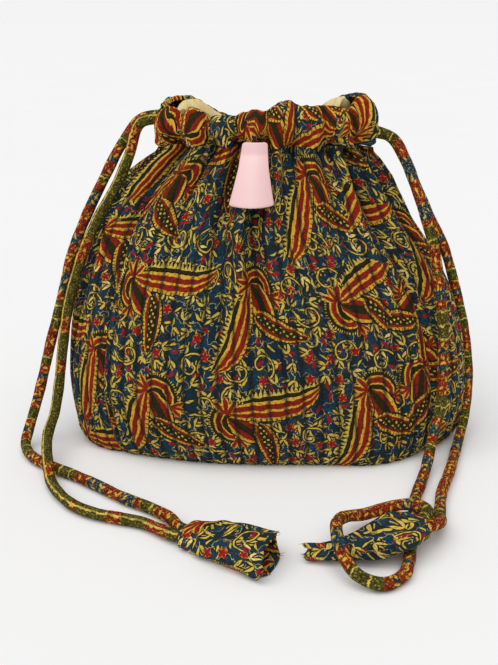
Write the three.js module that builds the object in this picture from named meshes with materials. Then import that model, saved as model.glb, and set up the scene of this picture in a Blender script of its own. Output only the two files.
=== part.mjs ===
// Kinchaku drawstring pouch: a quilted cotton body on an oval base, gathered into a casing that
// carries two drawstrings, each one leaving on its own side and ending in a folded cloth sleeve.
// Millimetres, +Z up, front towards -Y, +X to the right of someone facing the front.
import * as THREE from 'three';

// Body
const BASE_WIDTH = 266;
const BASE_DEPTH = 122;
const BELLY_WIDTH = 284;
const BELLY_DEPTH = 154;
const BELLY_HEIGHT = 48;
const NECK_WIDTH = 152;
const NECK_DEPTH = 76;
const NECK_HEIGHT = 208;
const SHOULDER_POWER = 1.9; // higher keeps the wall full further up towards the neck
const GUSSET_SHARE = 0.158; // share of the girth that each side panel takes
const PLEATS = 18;
const PLEAT_HEIGHT = 4; // from the middle of the wall to a fold's crest, at the neck
const PLEAT_FADE = 2.2; // higher makes the folds die out sooner below the neck

// Cloth
const QUILT = 3;
const CLOTH = 1.2;
const GAP = 0.3; // between sewn neighbours

// Casing and drawstrings
const CASING_HEIGHT = 32;
const SIDE_OPENING = 44; // gap between the two casing strips at each side
const HEM_WIDTH = 11; // cloth turned down inside the mouth
const CORD = 8; // drawstring diameter
const CORD_PLAY = 1; // clearance around a drawstring in the casing
const EXIT_DISTANCE = 16; // from the middle of the side to a strand, along the neck
const SIDE_BOW = 7; // how far a drawstring bows out where it crosses the opposite side opening

// Cloth sleeves on the cord ends
const SLEEVE_CLOTH = 1.3;
const SLEEVE_GRIP = 12; // length of cord held in a sleeve

// Label
const LABEL_LENGTH = 46;
const LABEL_TOP_WIDTH = 20;
const LABEL_BOTTOM_WIDTH = 33;
const LABEL_CLOTH = 1.2;
const LABEL_AT = 0.723; // share of the girth, counted from +X by way of the back and the left

const COLUMNS = 4 * PLEATS; // four to a pleat, shared by every ring so that layers stay parallel
const SLEEVE_SIDES = 16;

const group = new THREE.Group();

function addMesh(name, geometry, color, roughness) {
  const material = new THREE.MeshStandardMaterial({ color, roughness });
  const mesh = new THREE.Mesh(geometry, material);
  mesh.name = name;
  group.add(mesh);
}

// A closed solid between two grids of points, outer and inner, with columns along the first index.
// A ring grid joins its last column to its first.
function wallBetween(outer, inner, isRing) {
  const columns = outer.length;
  const rows = outer[0].length;
  const points = [];
  const faces = [];
  for (const grid of [outer, inner]) {
    for (const column of grid) {
      points.push(...column);
    }
  }
  const outerAt = (i, j) => (i % columns) * rows + j;
  const innerAt = (i, j) => columns * rows + outerAt(i, j);
  const quad = (a, b, c, d) => faces.push(a, b, c, a, c, d);
  const spans = isRing ? columns : columns - 1;
  for (let i = 0; i < spans; i += 1) {
    for (let j = 0; j < rows - 1; j += 1) {
      quad(outerAt(i, j), outerAt(i + 1, j), outerAt(i + 1, j + 1), outerAt(i, j + 1));
      quad(innerAt(i, j), innerAt(i, j + 1), innerAt(i + 1, j + 1), innerAt(i + 1, j));
    }
    const top = rows - 1;
    quad(innerAt(i, 0), innerAt(i + 1, 0), outerAt(i + 1, 0), outerAt(i, 0));
    quad(outerAt(i, top), outerAt(i + 1, top), innerAt(i + 1, top), innerAt(i, top));
  }
  if (!isRing) {
    const last = columns - 1;
    for (let j = 0; j < rows - 1; j += 1) {
      quad(innerAt(0, j), outerAt(0, j), outerAt(0, j + 1), innerAt(0, j + 1));
      quad(outerAt(last, j), innerAt(last, j), innerAt(last, j + 1), outerAt(last, j + 1));
    }
  }
  const geometry = new THREE.BufferGeometry().setFromPoints(points);
  geometry.setIndex(faces);
  geometry.computeVertexNormals();
  return geometry;
}

// The height's place between belly and neck: 0 at the belly or below, 1 at the neck or above.
function rise(z) {
  return THREE.MathUtils.clamp((z - BELLY_HEIGHT) / (NECK_HEIGHT - BELLY_HEIGHT), 0, 1);
}

// The oval that the middle of the wall follows at height z.
function girthAt(z) {
  const swell = Math.sin((Math.PI / 2) * Math.min(z / BELLY_HEIGHT, 1));
  const taper = rise(z) ** SHOULDER_POWER;
  const widthBelow = THREE.MathUtils.lerp(BASE_WIDTH, BELLY_WIDTH, swell);
  const depthBelow = THREE.MathUtils.lerp(BASE_DEPTH, BELLY_DEPTH, swell);
  const width = THREE.MathUtils.lerp(widthBelow, NECK_WIDTH, taper);
  const depth = THREE.MathUtils.lerp(depthBelow, NECK_DEPTH, taper);
  return new THREE.EllipseCurve(0, 0, width / 2, depth / 2);
}

const NECK = girthAt(NECK_HEIGHT);

// A point on an oval at a share of its girth, moved outwards by offset and set at height z.
function around(oval, share, offset, z) {
  const turn = THREE.MathUtils.euclideanModulo(share, 1);
  const point = oval.getPointAt(turn);
  const tangent = oval.getTangentAt(turn);
  return new THREE.Vector3(point.x + tangent.y * offset, point.y - tangent.x * offset, z);
}

// 1 on the crest of a fold and -1 in the hollow between two. The label hangs on a crest.
function fold(share) {
  return Math.cos(2 * Math.PI * PLEATS * (share - LABEL_AT));
}

function foldHeight(z) {
  return PLEAT_HEIGHT * rise(z) ** PLEAT_FADE;
}

// The shares of the girth from one edge to another, with every shared column in between.
function columnsBetween(from, to) {
  const shares = [from];
  for (let k = Math.ceil(from * COLUMNS); k < to * COLUMNS; k += 1) {
    if (k / COLUMNS > from + 0.001 && k / COLUMNS < to - 0.001) {
      shares.push(k / COLUMNS);
    }
  }
  shares.push(to);
  return shares;
}

const ALL_ROUND = Array.from({ length: COLUMNS }, (_, k) => k / COLUMNS);

// A height between the belly and the neck, by its share of the way.
const shoulder = (share) => THREE.MathUtils.lerp(BELLY_HEIGHT, NECK_HEIGHT, share);

// Quilted walls, from just off the floor to the casing seam
const WALL_ROWS = [
  GAP,
  BELLY_HEIGHT * 0.25,
  BELLY_HEIGHT * 0.58,
  ...[0, 0.23, 0.45, 0.64, 0.775, 0.89, 1].map(shoulder),
];

function quiltedPanel(from, to) {
  const columns = (depth) => columnsBetween(from, to).map((share, index, shares) => {
    const atStart = index === 0 ? 1 : 0;
    const atEnd = index === shares.length - 1 ? 1 : 0;
    return WALL_ROWS.map((z) => {
      const oval = girthAt(z);
      const seam = ((atStart - atEnd) * GAP) / 2 / oval.getLength();
      return around(oval, share + seam, fold(share) * foldHeight(z) - depth, z);
    });
  });
  return wallBetween(columns(0), columns(QUILT), false);
}

const HALF_GUSSET = GUSSET_SHARE / 2;
const QUILT_COLOR = 0x2f4c57;
addMesh('front_panel', quiltedPanel(0.5 + HALF_GUSSET, 1 - HALF_GUSSET), QUILT_COLOR, 0.9);
addMesh('back_panel', quiltedPanel(HALF_GUSSET, 0.5 - HALF_GUSSET), QUILT_COLOR, 0.9);
addMesh('left_side_panel', quiltedPanel(0.5 - HALF_GUSSET, 0.5 + HALF_GUSSET), QUILT_COLOR, 0.9);
addMesh('right_side_panel', quiltedPanel(-HALF_GUSSET, HALF_GUSSET), QUILT_COLOR, 0.9);

// Flat ovals: the base inside the foot of the walls, and the lining's base on top of it
function ovalSheet(inset, bottom, thickness) {
  const rim = ALL_ROUND.map((share) => around(girthAt(GAP), share, -inset, 0));
  const shape = new THREE.Shape(rim.map((p) => new THREE.Vector2(p.x, p.y)));
  const geometry = new THREE.ExtrudeGeometry(shape, { depth: thickness, bevelEnabled: false });
  return geometry.translate(0, 0, bottom);
}

const LINING_INSET = QUILT + GAP;
const LINING_FOOT = QUILT + GAP;
const LINING_COLOR = 0xead9a4;
addMesh('base_panel', ovalSheet(QUILT + GAP, 0, QUILT), QUILT_COLOR, 0.9);
addMesh('lining_base', ovalSheet(LINING_INSET + CLOTH + GAP, LINING_FOOT, CLOTH), LINING_COLOR, 0.85);

// The casing's layers at the neck, as offsets from the neck's oval
const CORD_OFFSET = -CORD / 2 - CORD_PLAY;
const LINING_OFFSET = CORD_OFFSET - CORD / 2 - CORD_PLAY;
const HEM_OFFSET = LINING_OFFSET - CLOTH - GAP - CLOTH / 2;
const BULGE = CORD_OFFSET + CORD / 2 + CORD_PLAY + CLOTH / 2 + PLEAT_HEIGHT / 2;
const CASING_TOP = NECK_HEIGHT + CASING_HEIGHT;
const CORD_SPACING = CORD + 2 * CORD_PLAY; // one drawstring runs above the other
const RIGHT_CORD_LEVEL = CASING_HEIGHT / 2 - CORD_SPACING / 2;
const LEFT_CORD_LEVEL = CASING_HEIGHT / 2 + CORD_SPACING / 2;

// The lining hangs inside the hollows of the folds and rises into the casing behind the cords
const LINING_ROWS = [LINING_FOOT, BELLY_HEIGHT * 0.58, ...[0, 0.45, 0.775, 1].map(shoulder)];
const CASING_LINING_ROWS = [NECK_HEIGHT + 4, CASING_TOP - 6];

function liningWall() {
  const columns = (depth) => ALL_ROUND.map((share) => {
    const column = LINING_ROWS.map((z) => {
      return around(girthAt(z), share, -LINING_INSET - foldHeight(z) - depth, z);
    });
    for (const z of CASING_LINING_ROWS) {
      column.push(around(NECK, share, LINING_OFFSET - depth, z));
    }
    return column;
  });
  return wallBetween(columns(0), columns(CLOTH), true);
}

addMesh('lining_wall', liningWall(), LINING_COLOR, 0.85);

// Casing strip: up from the seam, out around the cords, over the top and down inside the mouth.
// Each station is [share of a fold's height, offset from the neck, height above the neck]. The first
// one stands upright on the seam.
const CASING_STATIONS = [
  [1, -QUILT / 2, GAP],
  [0.8, BULGE / 2 - 0.5, 3],
  [0.5, BULGE, CASING_HEIGHT * 0.34],
  [0.5, BULGE, CASING_HEIGHT * 0.63],
  [0.4, BULGE - 1.5, CASING_HEIGHT - 5.5],
  [0.1, CORD_OFFSET, CASING_HEIGHT - CLOTH / 2],
  [0, HEM_OFFSET + 1.6, CASING_HEIGHT - 2.5],
  [0, HEM_OFFSET, CASING_HEIGHT - 6],
  [0, HEM_OFFSET, CASING_HEIGHT - HEM_WIDTH],
];

function casingStrip(from, to) {
  const columns = (side) => columnsBetween(from, to).map((share) => {
    const line = CASING_STATIONS.map(([wave, offset, height]) => {
      return new THREE.Vector2(offset + wave * PLEAT_HEIGHT * fold(share), height);
    });
    return line.map((point, index) => {
      const before = line[Math.max(index - 1, 0)];
      const after = line[Math.min(index + 1, line.length - 1)];
      const along = index === 0 ? new THREE.Vector2(0, 1) : after.clone().sub(before).normalize();
      return around(NECK, share, point.x + side * along.y, NECK_HEIGHT + point.y - side * along.x);
    });
  });
  return wallBetween(columns(CLOTH / 2), columns(-CLOTH / 2), false);
}

const HALF_OPENING = SIDE_OPENING / 2 / NECK.getLength();
const CASING_COLOR = 0x3a4a44;
addMesh('casing_front', casingStrip(0.5 + HALF_OPENING, 1 - HALF_OPENING), CASING_COLOR, 0.9);
addMesh('casing_back', casingStrip(HALF_OPENING, 0.5 - HALF_OPENING), CASING_COLOR, 0.9);

// Sleeves: a bent, flattened tube of cloth around the two ends of one drawstring.
// Each ring is [x, y, z of its middle, half width, half height], measured on the outside.
const GRIP_HALF_WIDTH = CORD + 1.9 + SLEEVE_CLOTH;
const GRIP_HALF_HEIGHT = CORD / 2 + 1 + SLEEVE_CLOTH;
const LEFT_SLEEVE = [
  [-47, -170, 6.3, GRIP_HALF_WIDTH, GRIP_HALF_HEIGHT],
  [-36, -177, 7.7, 13, 7.5],
  [-22, -186, 8.7, 15.5, 8.5],
  [3, -201, 9.2, 19, 9],
];
const RIGHT_SLEEVE = [
  [84, -176, 15.2, GRIP_HALF_WIDTH, GRIP_HALF_HEIGHT],
  [72, -185, 16.4, 15, 7],
  [56, -190, 12.2, 12, 7],
  [38, -191, 7.4, 8, 5],
  [21, -189, 5.2, 7, 4.8],
];

// The frame of a sleeve ring: its middle, the sideways direction and the upward direction.
function sleeveFrames(rings) {
  const middles = rings.map(([x, y, z]) => new THREE.Vector3(x, y, z));
  return middles.map((middle, index) => {
    const ahead = middles[Math.min(index + 1, rings.length - 1)].clone();
    const along = ahead.sub(middles[Math.max(index - 1, 0)]).normalize();
    const side = new THREE.Vector3().crossVectors(along, new THREE.Vector3(0, 0, 1)).normalize();
    const up = new THREE.Vector3().crossVectors(side, along);
    return { middle, along, side, up };
  });
}

function sleeve(rings) {
  const frames = sleeveFrames(rings);
  const round = (value) => Math.sign(value) * Math.abs(value) ** (2 / 3);
  const columns = (depth) => Array.from({ length: SLEEVE_SIDES }, (_, k) => {
    const angle = (2 * Math.PI * k) / SLEEVE_SIDES;
    return rings.map(([, , , halfWidth, halfHeight], index) => {
      const { middle, side, up } = frames[index];
      const across = (halfWidth - depth) * round(Math.cos(angle));
      const above = (halfHeight - depth) * round(Math.sin(angle));
      return middle.clone().addScaledVector(side, -across).addScaledVector(up, above);
    });
  });
  return wallBetween(columns(0), columns(SLEEVE_CLOTH), true);
}

const SLEEVE_COLOR = 0x33484f;
addMesh('left_cord_end', sleeve(LEFT_SLEEVE), SLEEVE_COLOR, 0.9);
addMesh('right_cord_end', sleeve(RIGHT_SLEEVE), SLEEVE_COLOR, 0.9);

// Drawstrings. Each runs from its sleeve up one strand, once round the mouth inside the casing and
// down the other strand into the same sleeve. FLOOR is the height of a strand that lies flat.
const FLOOR = CORD / 2 + 0.5;
const LEFT_BACK_STRAND = [
  [-60, -146, FLOOR], [-73, -133, FLOOR], [-90, -120, FLOOR], [-108, -103, FLOOR],
  [-126, -87, FLOOR], [-140, -76, FLOOR], [-154, -64, FLOOR], [-164, -50, FLOOR], [-169, -36, 6],
  [-168, -24, 14], [-163, -18, 31], [-157, -15, 53], [-151, -13, 76], [-143, -11, 103],
  [-135, -8, 134], [-124, -5, 161], [-111, 0, 187], [-99, 5, 209], [-85, 9, 226],
];
const LEFT_FRONT_STRAND = [
  [-84, -10, 225], [-92, -13, 204], [-101, -16, 184], [-114, -18, 162], [-125, -18, 139],
  [-134, -18, 113], [-139, -18, 92], [-143, -19, 68], [-146, -20, 46], [-149, -27, 26],
  [-151, -44, 17], [-149, -61, 14], [-145, -80, 10], [-140, -97, 5], [-131, -115, FLOOR],
  [-119, -131, FLOOR], [-105, -141, FLOOR], [-90, -147, FLOOR], [-75, -153, FLOOR],
];
const RIGHT_FRONT_STRAND = [
  [84, -10, 215], [92, -16, 202], [98, -24, 186], [105, -33, 165], [111, -40, 142],
  [115, -44, 116], [118, -46, 92], [119, -47, 66], [118, -51, 40], [112, -60, 18],
  [106, -77, 7], [99, -98, FLOOR], [92, -120, FLOOR], [88, -141, FLOOR], [84, -161, FLOOR],
  [80, -181, FLOOR], [76, -199, FLOOR], [71, -213, FLOOR], [59, -222, FLOOR], [46, -219, 8],
  [38.5, -207, 14.5], [36.5, -190, 19.5], [39, -174, 17], [46, -159, 12], [56, -151, 9],
  [67, -146.5, 10], [78, -144.5, 12], [86, -147, 13.5], [91.2, -152.5, 14.5], [92.8, -160, 15],
];
const RIGHT_BACK_STRAND = [
  [100, -162, 10], [103, -144, FLOOR], [110, -112, FLOOR], [121, -80, FLOOR],
  [131, -48, 5], [140, -22, 12], [146, -6, 28], [147, 3, 52], [143, 8, 80],
  [136, 10, 107], [126, 10, 137], [113, 9, 162], [101, 9, 187], [93, 9, 203],
  [84, 9, 214],
];

// A strand's straight grip in the sleeve, from its end inside to just outside the mouth, on the
// side given by sign.
function gripPoints(rings, sign) {
  const { middle, along, side } = sleeveFrames(rings)[0];
  const mouth = middle.clone().addScaledVector(side, sign * (CORD / 2 + GAP));
  return [SLEEVE_GRIP, 0, -CORD].map((depth) => mouth.clone().addScaledVector(along, depth));
}

// The run inside the casing, from one strand round the mouth to the other strand.
function casingRun(side, level) {
  const exit = EXIT_DISTANCE / NECK.getLength();
  return Array.from({ length: 25 }, (_, k) => {
    const share = side + exit + ((1 - 2 * exit) * k) / 24;
    const bow = SIDE_BOW * Math.exp(-(((k - 12) / 1.2) ** 2));
    return around(NECK, share, CORD_OFFSET + bow, NECK_HEIGHT + level);
  });
}

function drawstring(points, steps) {
  const route = new THREE.CatmullRomCurve3(points, false, 'centripetal');
  const section = new THREE.Shape().absarc(0, 0, CORD / 2, 0, 2 * Math.PI);
  const options = { steps, curveSegments: 4, extrudePath: route };
  return new THREE.ExtrudeGeometry(section, options);
}

const vectors = (list) => list.map(([x, y, z]) => new THREE.Vector3(x, y, z));
const leftRoute = [
  ...gripPoints(LEFT_SLEEVE, -1),
  ...vectors(LEFT_BACK_STRAND),
  ...casingRun(0.5, LEFT_CORD_LEVEL).reverse(),
  ...vectors(LEFT_FRONT_STRAND),
  ...gripPoints(LEFT_SLEEVE, 1).reverse(),
];
const rightRoute = [
  ...gripPoints(RIGHT_SLEEVE, -1),
  ...vectors(RIGHT_BACK_STRAND),
  ...casingRun(0, RIGHT_CORD_LEVEL),
  ...vectors(RIGHT_FRONT_STRAND),
  ...gripPoints(RIGHT_SLEEVE, 1).reverse(),
];
addMesh('left_drawstring', drawstring(leftRoute, 100), 0x77682f, 0.9);
addMesh('right_drawstring', drawstring(rightRoute, 116), 0x8a4426, 0.9);

// Label: a tab hung from the casing seam, lying on the crest of the front fold
function labelTab() {
  const across = [-0.5, -0.3, -0.1, 0.1, 0.3, 0.5];
  const down = [1, 0.8, 0.6, 0.4, 0.2, 0];
  const top = NECK_HEIGHT - GAP;
  const columns = (offset) => across.map((place) => down.map((share) => {
    const z = top - share * LABEL_LENGTH;
    const width = THREE.MathUtils.lerp(LABEL_TOP_WIDTH, LABEL_BOTTOM_WIDTH, share);
    const oval = girthAt(z);
    const turn = LABEL_AT + (place * width) / oval.getLength();
    return around(oval, turn, foldHeight(z) + offset, z);
  }));
  return wallBetween(columns(GAP + LABEL_CLOTH), columns(GAP), false);
}

addMesh('label', labelTab(), 0xf3cccb, 0.5);

export default group;
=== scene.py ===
# %% [markdown]
# # A quilted drawstring pouch
# The pouch is sewn from printed, quilted cotton, stands on an oval base and is gathered at the mouth
# by two drawstrings in a casing. The frame gives the plain solids in metres. Every soft one is replaced
# here by cloth with real folds, quilting and print, in the same place.

# %% Load the frame
import math
from functools import partialmethod

import bpy
import numpy as np
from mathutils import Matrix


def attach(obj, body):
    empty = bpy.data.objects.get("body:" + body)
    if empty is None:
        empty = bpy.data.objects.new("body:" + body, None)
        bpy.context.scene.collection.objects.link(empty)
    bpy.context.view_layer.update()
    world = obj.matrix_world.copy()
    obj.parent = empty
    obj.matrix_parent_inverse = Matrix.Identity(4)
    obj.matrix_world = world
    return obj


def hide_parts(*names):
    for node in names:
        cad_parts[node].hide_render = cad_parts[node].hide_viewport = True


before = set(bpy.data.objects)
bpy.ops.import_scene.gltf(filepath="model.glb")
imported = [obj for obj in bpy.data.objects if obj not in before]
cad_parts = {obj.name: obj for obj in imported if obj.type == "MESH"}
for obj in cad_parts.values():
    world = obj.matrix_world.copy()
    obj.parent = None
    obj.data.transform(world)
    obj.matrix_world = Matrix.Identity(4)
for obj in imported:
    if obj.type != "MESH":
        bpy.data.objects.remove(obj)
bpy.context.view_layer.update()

MM = 0.001
print("CAD nodes:", sorted(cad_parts))

# %% [markdown]
# ## Camera
# The pouch is seen from the front and a little above, from about 0.7 m. The lens follows from how fast
# the oval base seems to curve, so the camera comes before any shape that is judged through it.

# %% Camera
scene = bpy.context.scene
scene.view_settings.view_transform = "Standard"
camera = bpy.data.objects.new("camera", bpy.data.cameras.new("camera"))
camera.location = (-0.012, -0.700, 0.290)
camera.rotation_euler = (math.radians(73), 0, 0)
camera.data.sensor_width = 36
camera.data.lens = 55.27
scene.collection.objects.link(camera)
scene.camera = camera
print("camera lens", camera.data.lens)

# %% [markdown]
# ## Shader maths
# A print is easier to read as formulas than as wired boxes. This class wraps one socket, so that an
# expression such as `1 - mask` adds the Math nodes it needs. Any other node comes from `node`.


# %% Socket class
class Val:
    """A socket in the material that is being made."""

    tree = None

    def __init__(self, socket):
        self.socket = socket

    @classmethod
    def node(cls, kind, settings=None, inputs=None, out=0):
        made = cls.tree.nodes.new("ShaderNode" + kind)
        for key, value in (settings or {}).items():
            if key == "stops":
                made.color_ramp.interpolation = "CONSTANT"
                while len(made.color_ramp.elements) < len(value):
                    made.color_ramp.elements.new(1)
                for element, (place, colour) in zip(made.color_ramp.elements, value):
                    element.position, element.color = place, colour
            else:
                setattr(made, key, value)
        for key, value in (inputs or {}).items():
            if isinstance(value, Val):
                cls.tree.links.new(value.socket, made.inputs[key])
            else:
                made.inputs[key].default_value = value
        return cls(made.outputs[out])

    def math(self, operation, *values):
        return Val.node("Math", {"operation": operation}, dict(enumerate((self, *values))))

    __add__ = __radd__ = partialmethod(math, "ADD")
    __sub__ = partialmethod(math, "SUBTRACT")
    __mul__ = __rmul__ = partialmethod(math, "MULTIPLY")
    __truediv__ = partialmethod(math, "DIVIDE")
    __pow__ = partialmethod(math, "POWER")
    __lt__ = partialmethod(math, "LESS_THAN")
    __gt__ = partialmethod(math, "GREATER_THAN")
    __abs__ = partialmethod(math, "ABSOLUTE")
    line = partialmethod(math, "MULTIPLY_ADD")

    def __rsub__(self, other):
        return Val.node("Math", {"operation": "SUBTRACT"}, {0: other, 1: self})

    def clip(self, low, high):
        return self.math("MAXIMUM", low).math("MINIMUM", high)

    def parts(self):
        return [Val.node("SeparateXYZ", inputs={0: self}, out=k) for k in range(2)]


def dye(text):
    """A colour from its sRGB hex digits, as Blender's linear values."""
    values = [int(text[k : k + 2], 16) / 255 for k in (0, 2, 4)]
    return (*[v / 12.92 if v <= 0.04045 else ((v + 0.055) / 1.055) ** 2.4 for v in values], 1)


def paint(under, over, mask):
    """Lays one colour over another where the mask is 1."""
    return Val.node("Mix", {"data_type": "RGBA"}, {0: mask, 6: under, 7: over}, out=2)


def vector(operation, *values):
    return Val.node("VectorMath", {"operation": operation}, dict(enumerate(values)))


def noise(place, scale, detail, out=0):
    """Soft noise over flat cloth. out is 0 for a value and 1 for a colour."""
    inputs = {"Vector": place, "Scale": scale, "Detail": detail}
    return Val.node("TexNoise", {"noise_dimensions": "2D"}, inputs, out)


def length_of(p, q):
    return ((p * p) + (q * q)).math("SQRT")


def finish_of(name, make):
    """A new material whose nodes are added by make, which returns the Principled inputs."""
    material = bpy.data.materials.new(name)
    material.use_nodes = True
    Val.tree = material.node_tree
    shader = material.node_tree.nodes["Principled BSDF"]
    for key, value in make().items():
        if isinstance(value, Val):
            material.node_tree.links.new(value.socket, shader.inputs[key])
        else:
            shader.inputs[key].default_value = value
    print("finish", name, "has", len(material.node_tree.nodes), "nodes")
    return material


# %% [markdown]
# ## The block print
# The cotton carries a traditional paisley print: large motifs of a blade, a teardrop, a hood and small
# petals, on a teal ground full of sprouts, leaves and small flowers. A drawn image would do, but formulas
# stay sharp at any distance. Each shape is a bent leaf: `leaf` gives 0 on its spine and 1 on its edge, and
# a ramp turns that distance into the bands of colour a printer's blocks leave.

# %% Print colours and leaf shapes
TEAL, DEEP, GOLD, CREAM = dye("183f55"), dye("0c222e"), dye("dcab3c"), dye("e8cf7e")
RUST, RED, OLIVE, BROWN = dye("8c2513"), dye("9a1c22"), dye("2e2a12"), dye("1a140b")
STRAW = dye("d5b854")


def leaf(p, q, at, turn, length, half, bend=0.0, blunt=0.5, point=1.0, hook=1.0):
    """Distance from a leaf's spine, 1 at its edge, and the place along it from 0 to 1.

    It starts at `at` and points along `turn`. Its tip is `bend` lengths off, and a larger `hook` keeps
    that bend near the tip. Small `blunt` and `point` make a full start and a full tip.
    """
    c, s = math.cos(math.radians(turn)), math.sin(math.radians(turn))
    u = q.line(s / length, p.line(c / length, -(at[0] * c + at[1] * s) / length))
    u = u.clip(0.0, 1.0)
    v = q.line(c, p.line(-s, at[0] * s - at[1] * c)) - ((u * u) ** hook) * (bend * length)
    peak = (blunt / (blunt + point)) ** blunt * (point / (blunt + point)) ** point
    width = (u**blunt) * ((1 - u) ** point) * (half / peak) + 0.02
    return v / width, u


def fan(p, q, at, first, step, length, half):
    """Like leaf, for a fan of petals every step degrees around a point, from angle first on."""
    dp, dq = p - at[0], q - at[1]
    radius = length_of(dp, dq)
    angle = dq.math("ARCTAN2", dp) - math.radians(first)
    swing = angle.math("FLOORED_MODULO", math.radians(step)) - math.radians(step / 2)
    along, across = radius * swing.math("COSINE"), radius * swing.math("SINE")
    u = (along / length).clip(0.0, 1.0)
    return across / ((u**0.7) * ((1 - u) ** 0.5) * (half / 0.5) + 0.02), angle


def bands(distance, *stops):
    """Bands of colour from a shape's spine outwards: (where the band starts, its colour)."""
    return Val.node("ValToRGB", {"stops": stops}, {0: abs(distance)})


# %% [markdown]
# The large motif starts at its joint. Later shapes lie over earlier ones, as later blocks do.

# %% Large motif
BLADE = dict(at=(1, -2.5), turn=-1, length=63, half=7.0, bend=-0.2, blunt=0.4, point=0.42, hook=2.5)
ARCH = dict(at=(0, 1), turn=40, length=29, half=8.6, bend=0.0, blunt=0.6, point=0.6)
TEARDROP = dict(at=(20, 6), turn=76, length=41, half=7.0, bend=0.1, blunt=0.42, point=0.85, hook=2.0)
HOOD_AT, HOOD_RADIUS = (3.0, 5.5), 14
CURL_AT, CURL_RADIUS = (26.5, 46.5), 4.4
# Fans of petals: centre, first angle and step in degrees, length, half width, sweep in radians.
PETALS = [((0, -1), -152, 38, 12, 2.9, 1.98), ((4, 17), 40, 34, 9, 2.2, 1.78)]


def blade_comb(ground, d, u):
    """An olive margin with straw teeth along the blade's outer edge."""
    saw = (u * BLADE["length"]).math("PINGPONG", 1.5)
    outside = (d < -1) * (u > 0.1) * (u < 0.985)
    ground = paint(ground, OLIVE, outside * (d > -2.0))
    return paint(ground, STRAW, outside * (d > saw * -0.4 - 1.5) * (d < -1.45))


def hood(ground, p, q):
    """A cap of rings behind the joint, with ticks around it."""
    hp, hq = p - HOOD_AT[0], q - HOOD_AT[1]
    ring = length_of(hp, hq) / HOOD_RADIUS
    edge = bands(ring, (0, GOLD), (0.14, OLIVE), (0.55, GOLD), (0.62, RUST), (0.86, GOLD), (0.95, OLIVE))
    tick = (hp.math("ARCTAN2", hq) * 9).math("PINGPONG", 0.5) < 0.2
    edge = paint(edge, STRAW, (ring > 1.12) * tick)
    return paint(ground, edge, (hp + hq * 0.35 < 3.0) * (ring < 1.22))


def teardrop(ground, p, q):
    d, u = leaf(p, q, **TEARDROP)
    drop = bands(d, (0, OLIVE), (0.46, RUST), (0.72, GOLD), (1.0, OLIVE))
    seed = ((p * 1.5).math("SINE") * (q * 1.3).math("SINE") > 0.5) * (abs(d) < 0.36)
    tick = ((u * 40).math("FLOORED_MODULO", 2.4) < 0.8) * (abs(d) > 0.8)
    drop = paint(paint(drop, STRAW, seed), BROWN, tick * 0.8)
    return paint(ground, drop, (abs(d) < 1.2) * (u > 0.01))


def motif(ground, p, q):
    """The large motif over the ground. p runs along its blade and q to the teardrop's side, in mm."""
    d, u = leaf(p, q, **BLADE)
    ground = hood(blade_comb(ground, d, u), p, q)
    arch, _ = leaf(p, q, **ARCH)
    colour = bands(arch, (0, OLIVE), (0.32, RUST), (0.74, GOLD), (1.0, BROWN))
    ground = paint(ground, colour, abs(arch) < 1.12)
    blade = bands(d, (0, GOLD), (0.12, RUST), (0.66, GOLD), (1.0, BROWN))
    dash = ((u * BLADE["length"]).math("FLOORED_MODULO", 3.4) < 1.0) * (d > 0.72)
    ground = paint(ground, paint(blade, BROWN, dash * 0.8), abs(d) < 1.1)
    ground = teardrop(ground, p, q)
    for at, first, step, length, half, sweep in PETALS:
        petal, angle = fan(p, q, at, first, step, length, half)
        colour = bands(petal, (0, RUST), (0.55, GOLD))
        ground = paint(ground, colour, (abs(petal) < 1) * (angle > 0) * (angle < sweep))
    cp, cq = p - CURL_AT[0], q - CURL_AT[1]
    ring = abs(length_of(cp, cq) - CURL_RADIUS)
    return paint(ground, STRAW, (ring < 0.7) * (cq + cp * 0.6 > -1.5))


# %% [markdown]
# The small print fills the ground. Each kind has its own scattered points and leaves some empty.


# %% Small print
def scatter(place, size, shift):
    """Local coordinates around scattered points, each turned its own way, and a random number."""
    moved = vector("ADD", place, (shift, shift * 0.7, 0))
    cell = {"Vector": moved, "Scale": 1 / size, "Randomness": 0.62}
    spot = Val.node("TexVoronoi", {"voronoi_dimensions": "2D"}, cell, out=2)
    colour = Val(spot.socket.node.outputs[1])
    dx, dy = vector("SUBTRACT", moved, spot).parts()
    share, r = colour.parts()
    turn = share * (2 * math.pi)
    c, s = turn.math("COSINE"), turn.math("SINE")
    return dx * c + dy * s, dy * c - dx * s, r


CRESCENT = dict(at=(-2.9, -0.8), turn=0, length=6.0, half=0.78, bend=0.42, blunt=0.7, point=0.8)
SPROUT = dict(at=(-2.4, -0.1), turn=52, length=6.2, half=1.05, bend=-0.42, blunt=0.8, point=0.8)


def crescents(ground, place):
    x, y, r = scatter(place, 7.6, 3.0)
    d, _ = leaf(x, y, **CRESCENT)
    ground = paint(ground, OLIVE, (abs(d) < 2.4) * (r < 0.55))
    ground = paint(ground, STRAW, (abs(d) < 1) * (r < 0.55))
    return paint(ground, RED, (abs(d) < 1.7) * (r > 0.76))


def sprouts(ground, place):
    """Pairs of leaves on a bent stalk."""
    x, y, r = scatter(place, 10.5, 57.0)
    d, _ = leaf(x, abs(y), **SPROUT)
    stalk = (abs(y + x * x * 0.05) < 0.32) * (x < 3.2) * (x > -5.2)
    ground = paint(ground, STRAW, stalk * (r < 0.75))
    ground = paint(ground, OLIVE, (abs(d) < 2.0) * (r < 0.75))
    return paint(ground, paint(STRAW, CREAM, r > 0.6), (abs(d) < 1) * (r < 0.75))


def flowers(ground, place):
    x, y, r = scatter(place, 15.0, 121.0)
    d, _ = fan(x, y, (0, 0), 0, 72, 3.3, 1.5)
    ground = paint(ground, BROWN, (abs(d) < 1.5) * (r < 0.42))
    return paint(ground, bands(d, (0, RED), (0.78, GOLD)), (abs(d) < 1) * (r < 0.42))


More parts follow.
